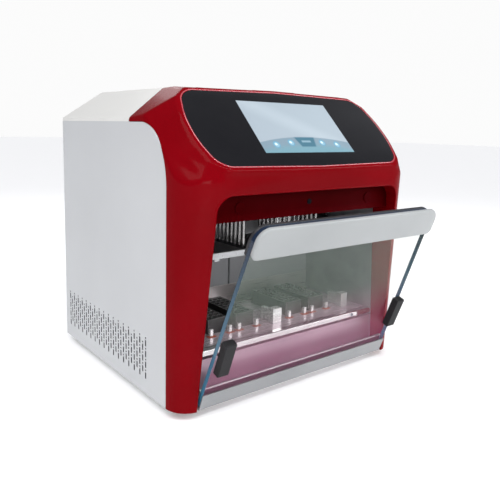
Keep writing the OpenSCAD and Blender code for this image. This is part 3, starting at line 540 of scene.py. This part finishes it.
LIP_OUT = 0.9         # how far outside the doorway the lip runs
LIP_R, LIP_SINK = 0.0013, 0.0009      # in metres, as the rim's
RIM_OUT = 1.1
RIM_R, RIM_SINK = 0.0009, 0.0004
lip_outline = both_sides([(open_half(1) + LIP_OUT, 1, 0),
                          (open_half(OPEN_H + LIP_OUT) + LIP_OUT, OPEN_H + LIP_OUT, OPEN_R + 1)])
lip = []
for spot in outline_path(lip_outline):
    hit = dropped(MODEL @ Vector((spot.x, -200, spot.y)), Vector((0, 1, 0)))
    if hit and spot.y > 1.5:
        lip.append(hit + Vector((0, LIP_SINK, 0)))
# The path is open at the doorway's foot, so it starts after its gap
first = max(range(len(lip)), key=lambda i: (lip[i] - lip[i - 1]).length)
lip = lip[first:] + lip[:first]
doorway_lip = bead("doorway_lip", lip, LIP_R, False)
coated(doorway_lip, red_gloss)
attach(doorway_lip, "housing")

rim = []
out_of_screen = (SCREEN.to_3x3() @ Vector((0, 0, 1))).normalized()
for spot in outline_path(lens_points(RIM_OUT)):
    hit = dropped(SCREEN @ Vector((spot.x, spot.y, 60)), -out_of_screen)
    if hit:
        rim.append(hit - out_of_screen * RIM_SINK)
# A lighter, glossier red for the lens rim's lip: a painted highlight along the band's top edge
rim_painted_highlight = finish("rim_painted_highlight", (0.40, 0.03, 0.05), (0.50, 0.05, 0.07), (0.08, 0.14), 900,
                   Specular_IOR_Level=0.9, Coat_Weight=1.0, Coat_Roughness=0.05)
lens_rim = bead("lens_rim", rim, RIM_R, True)
coated(lens_rim, rim_painted_highlight)
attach(lens_rim, "housing")


# ---------- Screen ----------
# A black acrylic lens laid in the surround, with a colour display
# bonded behind it that glows through its clear window.
lens_black = finish("lens_black", (0.008, 0.008, 0.010), (0.012, 0.012, 0.014), (0.05, 0.09), 500,
                    Specular_IOR_Level=0.1)
lens = shape("screen_lens_part",
             turned(plate(lens_points(0), LENS_SEAT, -0.1, 0.35, 3, 16), SCREEN))
shaded(lens, 35)
coated(lens, lens_black)
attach(lens, "housing")
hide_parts("screen_lens")

LIT_W, LIT_H = 154, 88
KEY_DARK, KEY_MID, KEY_LIGHT = (0.10, 0.24, 0.34), (0.20, 0.34, 0.42), (0.50, 0.66, 0.72)


# The glowing picture, drawn on the window's own UV from 0 to 1
def display_picture():
    material = bpy.data.materials.new("display_picture")
    material.use_nodes = True
    tree = material.node_tree
    shader = tree.nodes["Principled BSDF"]
    uv = tree.nodes.new("ShaderNodeUVMap")
    uv.uv_map = "window"
    split = tree.nodes.new("ShaderNodeSeparateXYZ")
    tree.links.new(uv.outputs["UV"], split.inputs[0])
    across, upward = split.outputs[0], split.outputs[1]

    def math(operation, first, second=None, third=None):
        node = tree.nodes.new("ShaderNodeMath")
        node.operation = operation
        for socket, value in zip(node.inputs, (first, second, third)):
            if value is None:
                continue
            if hasattr(value, "node"):
                tree.links.new(value, socket)
            else:
                socket.default_value = value
        return node.outputs[0]

    def mixed(mask, under, over):
        node = tree.nodes.new("ShaderNodeMix")
        node.data_type = "RGBA"
        tree.links.new(mask, node.inputs["Factor"])
        for socket, value in ((node.inputs["A"], under), (node.inputs["B"], over)):
            if hasattr(value, "node"):
                tree.links.new(value, socket)
            else:
                socket.default_value = (*value, 1)
        return node.outputs["Result"]

    def ramp(value, start, end):
        node = tree.nodes.new("ShaderNodeMapRange")
        node.interpolation_type = "SMOOTHSTEP"
        node.inputs["From Min"].default_value = start
        node.inputs["From Max"].default_value = end
        tree.links.new(value, node.inputs["Value"])
        return node.outputs["Result"]

    def disc(x, y, radius, edge=0.006):
        dx = math("MULTIPLY", math("SUBTRACT", across, x), LIT_W / LIT_H)
        dy = math("SUBTRACT", upward, y)
        reach = math("SQRT", math("ADD", math("MULTIPLY", dx, dx), math("MULTIPLY", dy, dy)))
        return ramp(reach, radius + edge, radius)

    def panel(x, y, half_w, half_h, edge=0.01):
        wide = ramp(math("ABSOLUTE", math("SUBTRACT", across, x)), half_w + edge / 2, half_w)
        tall = ramp(math("ABSOLUTE", math("SUBTRACT", upward, y)), half_h + edge, half_h)
        return math("MULTIPLY", wide, tall)

    # Pale sky above, a soft streak across it that is a painted reflection of light on the lens,
    # darker to the right
    fall = math("ADD", math("MULTIPLY", across, 0.75), math("MULTIPLY", upward, -0.35))
    picture = mixed(ramp(fall, -0.35, 0.65), (0.255, 0.30, 0.34), (0.27, 0.32, 0.36))
    slant = math("ADD", across, math("MULTIPLY", upward, 0.9))
    streak = math("ABSOLUTE", math("SUBTRACT", slant, 0.98))
    picture = mixed(math("MULTIPLY", ramp(streak, 0.28, 0.0), 0.22), picture, (0.42, 0.48, 0.52))
    # A cyan hill line low down, brightest in the middle
    bow = math("SUBTRACT", across, 0.5)
    hill = math("SUBTRACT", 0.30, math("MULTIPLY", math("MULTIPLY", bow, bow), 0.42))
    below = ramp(math("SUBTRACT", upward, hill), 0.012, -0.012)
    picture = mixed(math("MULTIPLY", below, 0.6), picture, (0.07, 0.14, 0.19))
    deep = ramp(math("SUBTRACT", upward, math("SUBTRACT", hill, 0.13)), 0.05, -0.09)
    picture = mixed(math("MULTIPLY", deep, 0.55), picture, (0.10, 0.25, 0.30))
    # Round keys in pairs either side of a dark centre key
    for x, y, size in ((0.16, 0.155, 0.052), (0.325, 0.19, 0.05), (0.675, 0.19, 0.05),
                       (0.84, 0.155, 0.052)):
        picture = mixed(disc(x, y, size, 0.02), picture, KEY_DARK)
        picture = mixed(disc(x, y, size * 0.7, 0.015), picture, KEY_MID)
        picture = mixed(disc(x - 0.004, y + 0.008, size * 0.34), picture, KEY_LIGHT)
    off_middle = math("ABSOLUTE", math("SUBTRACT", across, 0.5))
    narrow = math("MULTIPLY_ADD", upward, 0.18, 0.058)
    wide = ramp(math("SUBTRACT", off_middle, narrow), 0.012, -0.012)
    tall = ramp(math("ABSOLUTE", math("SUBTRACT", upward, 0.205)), 0.105, 0.075)
    picture = mixed(math("MULTIPLY", wide, tall), picture, (0.045, 0.12, 0.165))
    picture = mixed(panel(0.5, 0.215, 0.045, 0.008, 0.02), picture, (0.17, 0.27, 0.33))
    # A dark edge where the lens print ends
    inner = math("MULTIPLY", ramp(off_middle, 0.5, 0.494),
                 ramp(math("ABSOLUTE", math("SUBTRACT", upward, 0.5)), 0.5, 0.49))
    picture = mixed(inner, (0.01, 0.012, 0.015), picture)
    tree.links.new(picture, shader.inputs["Base Color"])
    tree.links.new(picture, shader.inputs["Emission Color"])
    shader.inputs["Emission Strength"].default_value = 0.47
    grain = noise(tree, 900, 2)
    tree.links.new(spread(tree, grain, 0.06, 0.1), shader.inputs["Roughness"])
    return material


window = bmesh.new()
bmesh.ops.create_grid(window, x_segments=8, y_segments=5, size=0.5)
layer = window.loops.layers.uv.new("window")
for face in window.faces:
    for loop in face.loops:
        loop[layer].uv = (loop.vert.co.x + 0.5, loop.vert.co.y + 0.5)
bmesh.ops.transform(window, matrix=SCREEN @ Matrix.Diagonal((LIT_W, LIT_H, 1, 1))
                    @ Matrix.Translation((0, 0, 0.02)), verts=window.verts)
display = coated(shape("lit_display", window), display_picture())
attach(display, "housing")


# ---------- Sheet steel covers ----------
# Powder-coated side and rear panels with punched vents, and a warm
# white top cover folded down both slopes, all screwed to the tray.


# A CAD node's own form with its edges eased, edge in metres, in its
# place; with a rim, the eased edges are of that second material
def softened(name, body, node, edge, material, steps=2, rim=None):
    mesh = bmesh.new()
    mesh.from_mesh(nodes[node].data)
    bmesh.ops.remove_doubles(mesh, verts=mesh.verts, dist=0.00002)
    bmesh.ops.dissolve_limit(mesh, angle_limit=radians(0.6), verts=mesh.verts, edges=mesh.edges)
    if edge:
        eased(mesh, edge, steps, slot=1 if rim else -1)
    piece = shape(name, mesh)
    shaded(piece, 34)
    piece.modifiers.new("even_shading", "WEIGHTED_NORMAL").keep_sharp = True
    coated(piece, *((material, rim) if rim else (material,)))
    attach(piece, body)
    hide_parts(node)
    return piece


panel_grey = finish("panel_grey", (0.53, 0.54, 0.555), (0.57, 0.58, 0.595), (0.42, 0.52), 1100,
                    0.00003, patch=5)
cover_white = finish("cover_white", (0.72, 0.71, 0.69), (0.76, 0.755, 0.735), (0.4, 0.5), 1000,
                     0.00003, patch=5)
# Near-black for the vents' cut walls: painted shade inside the slots
slot_wall_painted_shade = finish("slot_wall_painted_shade", (0.06, 0.065, 0.07), (0.10, 0.105, 0.11), (0.5, 0.6), 900)

SIDE_D = 309
SHEET = 2
SEAM_GAP = 0.4        # between the moulding and a side panel
COLUMNS, COLUMN_PITCH, FIRST_COLUMN = 33, 7.5, 52
SLOT_ROWS, SLOT_FOOT, SLOT_PITCH = 4, 19, 13.8
SLOT_HALF, SLOT_H, SLOT_R = 1.4, 8.4, 1.3
DOT_RISE = 11.0       # from a slot's foot to the middle of its dot

# One side's vents: staggered columns of slots, each with a dot over it
slots = bmesh.new()
for i in range(COLUMNS):
    for j in range(SLOT_ROWS - i % 2):
        low = SLOT_FOOT + j * SLOT_PITCH + (i % 2) * SLOT_PITCH / 2
        y = FIRST_COLUMN + i * COLUMN_PITCH
        joined(slots, plate([(y - SLOT_HALF, low, SLOT_R), (y + SLOT_HALF, low, SLOT_R),
                             (y + SLOT_HALF, low + SLOT_H, SLOT_R),
                             (y - SLOT_HALF, low + SLOT_H, SLOT_R)],
                            HALF_W - 10, HALF_W + 10, arc=4))
        dot = bmesh.new()
        bmesh.ops.create_cone(dot, cap_ends=True, segments=12, radius1=SLOT_R, radius2=SLOT_R,
                              depth=20, matrix=Matrix.Translation((y, low + DOT_RISE, HALF_W)))
        joined(slots, dot)
slots_data = bpy.data.meshes.new("slots")
turned(slots, SIDE_FACE).to_mesh(slots_data)
slots.free()

side_outline = [(SIDE_D, 0, 0), (PILLAR_Y + SEAM_GAP, 0, 0), *seam(SEAM_GAP),
                (STEP_Y + SEAM_GAP, SIDE_H - SEAM_GAP, 0), (STEP_Y + SEAM_GAP, SIDE_H, 0),
                (SIDE_D, SIDE_H, 0)]
for side, word in ((-1, "left"), (1, "right")):
    panel = shape(f"{word}_side_cover",
                  turned(plate(side_outline, HALF_W - SHEET, HALF_W), SIDE_FACE))
    punch = linked("punch", slots_data.copy())
    worked(panel, "DIFFERENCE", punch, solver="EXACT")
    # In the field of vents, what doesn't face out or in is a cut wall; these walls take a
    # near-black finish, painted shade inside the slots
    for face in panel.data.polygons:
        if abs(face.normal.x) < 0.5 and 16 < face.center.z < 76 and 45 < face.center.y < 300:
            face.material_index = 1
    mesh = bmesh.new()
    mesh.from_mesh(panel.data)
    # The rear edge folded in, which the rear panel is screwed to
    joined(mesh, eased(block((HALF_W - 14, SIDE_D - 4, 2),
                             (HALF_W - SHEET, SIDE_D - 2, SIDE_H - 4)), 0.4))
    turned(mesh, MODEL @ Matrix.Diagonal((side, 1, 1, 1)))
    mesh.to_mesh(panel.data)
    mesh.free()
    coated(panel, panel_grey, slot_wall_painted_shade)
    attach(panel, "housing")
    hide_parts(f"{word}_side_panel")
bpy.data.meshes.remove(slots_data)

softened("top_cover_shell", "housing", "top_cover", 0.0004, cover_white)
softened("rear_cover", "housing", "rear_panel", 0.0002, panel_grey)


# ---------- Door ----------
# A leaning pane of 6 mm float glass in an extruded aluminium rail that
# turns on two pins, with a moulded handle bar and two rubber blocks.
DOOR_LEAN = 21.2      # degrees
DOOR = (MODEL @ Matrix.Translation(HINGE) @ Matrix.Rotation(radians(DOOR_LEAN), 4, "X")
        @ FRONT_FACE)
GLASS_H = 238
GLASS_FRONT, GLASS_REAR = -14, -8
GLASS_GAP = 3.2       # at each side of the doorway
HANDLE_TOP, HANDLE_H = 242, 39
HANDLE_FRONT = -20
HANDLE_GAP = 1.8


# Half of the doorway's width at a height over the hinge
def door_half(z):
    return open_half(HINGE[2]) - z * TAPER


# Height on the piece's own axes, from 0 at low to 1 at high, in metres
def height(tree, low, high):
    coords = tree.nodes.new("ShaderNodeTexCoord")
    split = tree.nodes.new("ShaderNodeSeparateXYZ")
    tree.links.new(coords.outputs["Object"], split.inputs[0])
    return spread(tree, split.outputs["Z"], 0.0, 1.0, low, high)


# A clear skin with a painted reflection, pink low down and greenish above, broken into faint darker
# streaks that also roughen it like wiping marks
clear_glass = bpy.data.materials.new("clear_glass")
clear_glass.use_nodes = True
tree = clear_glass.node_tree
shader = tree.nodes["Principled BSDF"]
shader.inputs["Alpha"].default_value = 0.125
shader.inputs["Coat Weight"].default_value = 0.9
shader.inputs["Coat Roughness"].default_value = 0.02
# The pink and green here are painted reflection, not a tint of the glass
cast = tint_between(tree, height(tree, 0.03, 0.15), (0.62, 0.10, 0.30), (0.22, 0.30, 0.24),
                    0.25, 0.9)
smears_and_reflection_streaks = noise(tree, 26, 6, 0.65, (1, 1, 0.3))
streaked_reflection = tree.nodes.new("ShaderNodeMix")
streaked_reflection.data_type = "RGBA"
streaked_reflection.blend_type = "MULTIPLY"
streaked_reflection.inputs["Factor"].default_value = 0.5
tree.links.new(cast, streaked_reflection.inputs["A"])
tree.links.new(tint_between(tree, smears_and_reflection_streaks, (0.70, 0.74, 0.70), (1, 1, 1)), streaked_reflection.inputs["B"])
tree.links.new(streaked_reflection.outputs["Result"], shader.inputs["Base Color"])
tree.links.new(spread(tree, smears_and_reflection_streaks, 0.0, 0.004, 0.45, 0.75), shader.inputs["Roughness"])

# The pane's cut edge, blue at the foot and darkening upward to nearly black in painted shade
edge_glass = bpy.data.materials.new("edge_glass")
edge_glass.use_nodes = True
tree = edge_glass.node_tree
shader = tree.nodes["Principled BSDF"]
tone = tint_between(tree, height(tree, 0.02, 0.25), (0.05, 0.18, 0.28), (0.006, 0.016, 0.040),
                    0.0, 0.85)
tree.links.new(tone, shader.inputs["Base Color"])
tree.links.new(spread(tree, noise(tree, 400, 3), 0.05, 0.14), shader.inputs["Roughness"])
pane_outline = both_sides([(door_half(0) - GLASS_GAP, 0, 1),
                           (door_half(GLASS_H) - GLASS_GAP, GLASS_H, 18)])
pane = turned(plate(pane_outline, GLASS_FRONT, GLASS_REAR, 0.5, 2, 12), DOOR)
door_normal = (DOOR.to_3x3() @ Vector((0, 0, 1))).normalized()
for face in pane.faces:
    face.material_index = 0 if abs(face.normal.dot(door_normal)) > 0.9 else 1
pane = coated(shape("door_pane", pane), clear_glass, edge_glass)
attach(pane, "door")
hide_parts("door_glass")

handle_white = finish("handle_white", (0.32, 0.335, 0.34), (0.36, 0.375, 0.38), (0.3, 0.4),
                      1200, 0.00001, Specular_IOR_Level=0.4)
handle_foot = HANDLE_TOP - HANDLE_H
bar = turned(plate(both_sides([(door_half(handle_foot) - HANDLE_GAP, handle_foot, 8),
                               (door_half(HANDLE_TOP) - HANDLE_GAP, HANDLE_TOP - 1.5, 17)]),
                   HANDLE_FRONT, GLASS_FRONT - 0.02, 2.4, 5, 12), DOOR)
bar = shape("handle_bar", bar)
shaded(bar, 40)
coated(bar, handle_white)
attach(bar, "door")
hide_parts("door_handle")

black_abs = finish("black_abs", (0.012, 0.012, 0.014), (0.022, 0.022, 0.025), (0.35, 0.5),
                   1300, 0.00003)
rubber_black = finish("rubber_black", (0.010, 0.010, 0.011), (0.018, 0.018, 0.020), (0.5, 0.65),
                      900, 0.00004, Specular_IOR_Level=0.2)
softened("handle_inner_bar", "door", "handle_backing", 0.0008, black_abs)
softened("edge_rubber_blocks", "door", "door_edge_blocks", 0.0007, rubber_black)
# Drawn along the width, so its grain runs that way
rail_alu = finish("rail_aluminium", (0.30, 0.31, 0.32), (0.36, 0.37, 0.38), (0.32, 0.42), 1200,
                  0.000003, (0.03, 1, 1), Metallic=0.75)
softened("glass_rail", "door", "door_rail", 0.00035, rail_alu)
chrome = finish("bright_chrome", (0.70, 0.70, 0.70), (0.80, 0.80, 0.80), (0.08, 0.16), 700,
                Metallic=1.0)
softened("hinge_pin_pair", "door", "hinge_pins", 0.0003, chrome)
softened("striker_discs", "door", "door_strikers", 0.0001, chrome)


# ---------- Catch header and hinge ----------
# Two magnets under red caps and a small door sensor in the header, and
# pressed hinge brackets behind the pillars.
# The caps take the header's darker red, painted shade in the recess
softened("catch_caps", "housing", "catch_magnets", 0.0004, header_red_in_painted_shade)
softened("door_sensor_eye", "housing", "door_sensor", 0.0003, lens_black)
zinc = finish("zinc_plate", (0.34, 0.35, 0.36), (0.46, 0.47, 0.48), (0.35, 0.5), 220, 0.00001,
              patch=28, Metallic=0.8)
softened("hinge_bracket_pair", "housing", "hinge_brackets", 0.0003, zinc)


# ---------- Chamber lining ----------
# Grey coated sheet walls with a seam in the middle, zinc side walls
# and a brushed splash strip along the foot of the rear wall.
BRUSHED_ACROSS = (0.02, 1, 1)
wall_grey = finish("wall_grey", (0.35, 0.365, 0.375), (0.42, 0.435, 0.445), (0.38, 0.5), 700,
                   0.00002, patch=6)
brushed = finish("brushed_steel", (0.55, 0.53, 0.51), (0.66, 0.63, 0.61), (0.26, 0.36), 1500,
                 0.000003, BRUSHED_ACROSS, Metallic=0.7)
softened("side_liners", "housing", "chamber_side_walls", 0.0002, zinc)
softened("rear_liner_left", "housing", "rear_wall_left", 0.0004, wall_grey)
softened("rear_liner_right", "housing", "rear_wall_right", 0.0004, wall_grey)
softened("splash_guard", "housing", "splash_strip", 0.0003, brushed)


# ---------- Deck ----------
# Brushed stainless deck, front plate and a polished rail, with plate
# guides, posts on heat-proof pads and black anodised heating blocks.
# The pink tint of the deck and of the front plate is a painted reflection on plain stainless steel
deck_steel_painted_reflection = finish("deck_steel_painted_reflection", (0.66, 0.58, 0.63), (0.76, 0.68, 0.73), (0.2, 0.3), 1500,
                    0.000003, BRUSHED_ACROSS, Metallic=0.55)
front_steel_painted_reflection = finish("front_steel_painted_reflection", (0.44, 0.32, 0.39), (0.54, 0.42, 0.48), (0.3, 0.42), 1500,
                     0.000004, BRUSHED_ACROSS, Metallic=0.65)
softened("deck_sheet", "housing", "deck_plate", 0.0003, deck_steel_painted_reflection)
softened("front_sill", "housing", "deck_front_rail", 0.0004, chrome)
softened("front_fold", "housing", "deck_front_plate", 0.0004, front_steel_painted_reflection)
anodised = finish("black_anodised", (0.010, 0.010, 0.010), (0.022, 0.021, 0.020), (0.28, 0.42), 900,
                  0.00001, Specular_IOR_Level=0.5)
# A brighter metal on the eased rims of the blocks' seats and edges: painted highlights
seat_rim_painted_highlight = finish("seat_rim_painted_highlight", (0.40, 0.39, 0.38), (0.52, 0.50, 0.49), (0.25, 0.4), 800,
                    Metallic=0.5)
for i in (1, 2, 3, 4):
    softened(f"heater_{i}", "housing", f"heating_block_{i}", 0.0005, anodised,
             steps=1, rim=seat_rim_painted_highlight)
satin_chrome = finish("satin_chrome", (0.74, 0.74, 0.73), (0.86, 0.86, 0.85), (0.2, 0.32), 600,
                      0.00001, Metallic=0.6)
softened("post_pegs", "housing", "locating_posts", 0.0005, satin_chrome)
amber = finish("amber_pad", (0.30, 0.055, 0.025), (0.40, 0.09, 0.04), (0.4, 0.55), 500, 0.00002)
softened("post_seats", "housing", "post_pads", 0.0002, amber)
softened("guide_blocks", "housing", "plate_guides", 0.0005, satin_chrome)


# ---------- Head mechanism ----------
# A black frame plate carries two ground rails and a lead screw; the
# head runs on them with its lift stages, motors and magnet rods.
black_coat = finish("black_powder_coat", (0.014, 0.014, 0.015), (0.024, 0.024, 0.026),
                    (0.35, 0.5), 1200, 0.00003)
alu = finish("machined_aluminium", (0.46, 0.47, 0.48), (0.56, 0.57, 0.58), (0.25, 0.38), 300,
             0.00001, (1, 1, 0.05), Metallic=0.9)
rod_metal = finish("nickel_rods", (0.34, 0.33, 0.33), (0.46, 0.45, 0.45), (0.14, 0.24), 500,
                   Metallic=0.9)
for name, body, node, edge, material, slot in (
        ("frame_sheet", "housing", "mechanism_plate", 0.0004, black_coat, "black_metal"),
        ("rail_pair", "housing", "x_rails", 0.0006, chrome, "chrome"),
        ("screw_end_block", "housing", "x_screw_bearing", 0.0005, black_coat, "black_metal"),
        ("traverse_motor", "housing", "x_motor", 0.0008, black_coat, "black_metal"),
        ("carriage_frame", "carriage", "head_carriage", 0.0004, alu, "aluminium"),
        ("rail_runners", "carriage", "x_bearing_blocks", 0.0005, satin_chrome, "chrome"),
        ("lift_motor", "carriage", "sleeve_motor", 0.0008, black_coat, "black_metal"),
        ("comb_carrier", "sleeve_stage", "sleeve_stage", 0.0004, black_coat, "black_metal"),
        ("carrier_bar", "sleeve_stage", "carrier_front_bar", 0.0004, alu, "aluminium"),
        ("guide_rods", "sleeve_stage", "guide_shafts", 0.0004, chrome, "chrome"),
        ("rod_lift_motor", "sleeve_stage", "magnet_motor", 0.0008, black_coat, "black_metal"),
        ("rod_plate", "magnet_head", "magnet_head", 0.0004, black_coat, "black_metal"),
        ("magnet_rods", "magnet_head", "magnet_rod_rows", 0.0, rod_metal, "magnet_metal"),
        ("traverse_screw", "x_screw", "x_lead_screw", 0.0003, chrome, "chrome"),
        ("lift_screw", "sleeve_screw", "sleeve_lead_screw", 0.0003, chrome, "chrome"),
        ("rod_lift_screw", "magnet_screw", "magnet_lead_screw", 0.0003, chrome, "chrome")):
    softened(name, body, node, edge, material)


# ---------- Rear and base ----------
# Two guarded fans, the mains inlet with its rocker switch and the data
# ports, zinc tray, rubber feet, and the electronics inside.
board_green = finish("board_green", (0.01, 0.09, 0.045), (0.02, 0.13, 0.06), (0.3, 0.45), 700,
                     0.00002)
port_metal = finish("port_metal", (0.40, 0.41, 0.42), (0.5, 0.51, 0.52), (0.25, 0.4), 600,
                    Metallic=1.0)
for name, body, node, edge, material, slot in (
        ("fan_housings", "housing", "fan_frames", 0.0006, black_abs, "black_plastic"),
        ("fan_rings", "housing", "fan_guards", 0.0003, chrome, "chrome"),
        ("fan_wheel_left", "fan_left", "fan_rotor_left", 0.0004, black_abs, "black_plastic"),
        ("fan_wheel_right", "fan_right", "fan_rotor_right", 0.0004, black_abs, "black_plastic"),
        ("mains_socket", "housing", "power_inlet", 0.0005, black_abs, "black_plastic"),
        ("switch_frame", "housing", "switch_bezel", 0.0005, black_abs, "black_plastic"),
        ("switch_rocker", "rocker", "power_rocker", 0.0005, black_abs, "black_plastic"),
        ("port_block", "housing", "data_ports", 0.0003, port_metal, "zinc_sheet"),
        ("cover_screws", "housing", "panel_screws", 0.0004, satin_chrome, "chrome"),
        ("power_unit", "housing", "power_supply", 0.0004, zinc, "zinc_sheet"),
        ("circuit_board", "housing", "control_board", 0.0002, board_green, "board_green"),
        ("tray", "housing", "base_tray", 0.0003, zinc, "zinc_sheet"),
        ("feet", "housing", "rubber_feet", 0.0008, rubber_black, "rubber")):
    softened(name, body, node, edge, material)
coated(nodes["display_module"], black_coat)
